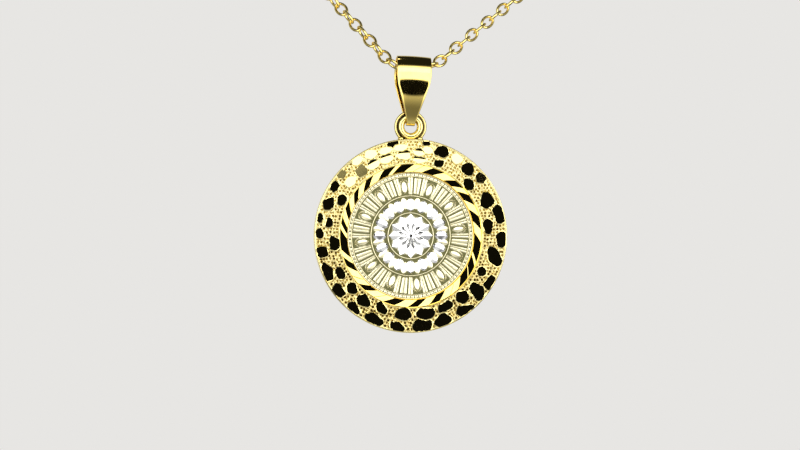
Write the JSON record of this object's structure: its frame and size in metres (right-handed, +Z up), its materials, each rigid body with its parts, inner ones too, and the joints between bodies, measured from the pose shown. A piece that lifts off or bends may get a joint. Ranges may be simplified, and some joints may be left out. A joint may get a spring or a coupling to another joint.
{
  "type": "medallion pendant on a cable chain",
  "caption": "Round medallion pendant: a nugget-textured frame round a relief plate, hung by a tapered strap bail on a fine cable chain, with a clasp at the nape.",
  "frame": {"origin": "at the nape of the neck, the highest point of the chain and the middle of its clasp", "axes": "+X to the right of the medallion seen from the front, +Y from its front to its back, +Z up, as it hangs"},
  "size_m": [0.1314, 0.1124, 0.1657],
  "materials": {
    "frame_gold": "mirror-polished nugget pads on a finely stippled ground, bright cuts inside",
    "plate_gold": "pale gold relief, bright-cut in the middle and frosted between the ribs",
    "bail_gold": "polished",
    "chain_gold": "polished"
  },
  "bodies": {
    "necklace": {"chain": "chain_gold", "clasp": "chain_gold"},
    "bail": {"bail": "bail_gold"},
    "medallion": {"nugget_frame": "frame_gold", "face_plate": "plate_gold"}
  },
  "joints": [
    {"name": "bail_swing", "type": "hinge", "parent": "necklace", "child": "bail", "pos_m": [-0.01202, -0.10843, -0.12922], "axis": [1, 0, 0], "range_deg": [-90, 90]},
    {"name": "medallion_swing", "type": "hinge", "parent": "bail", "child": "medallion", "pos_m": [-0.01235, -0.10843, -0.13691], "axis": [0, 1, 0], "range_deg": [-80, 80]}
  ]
}
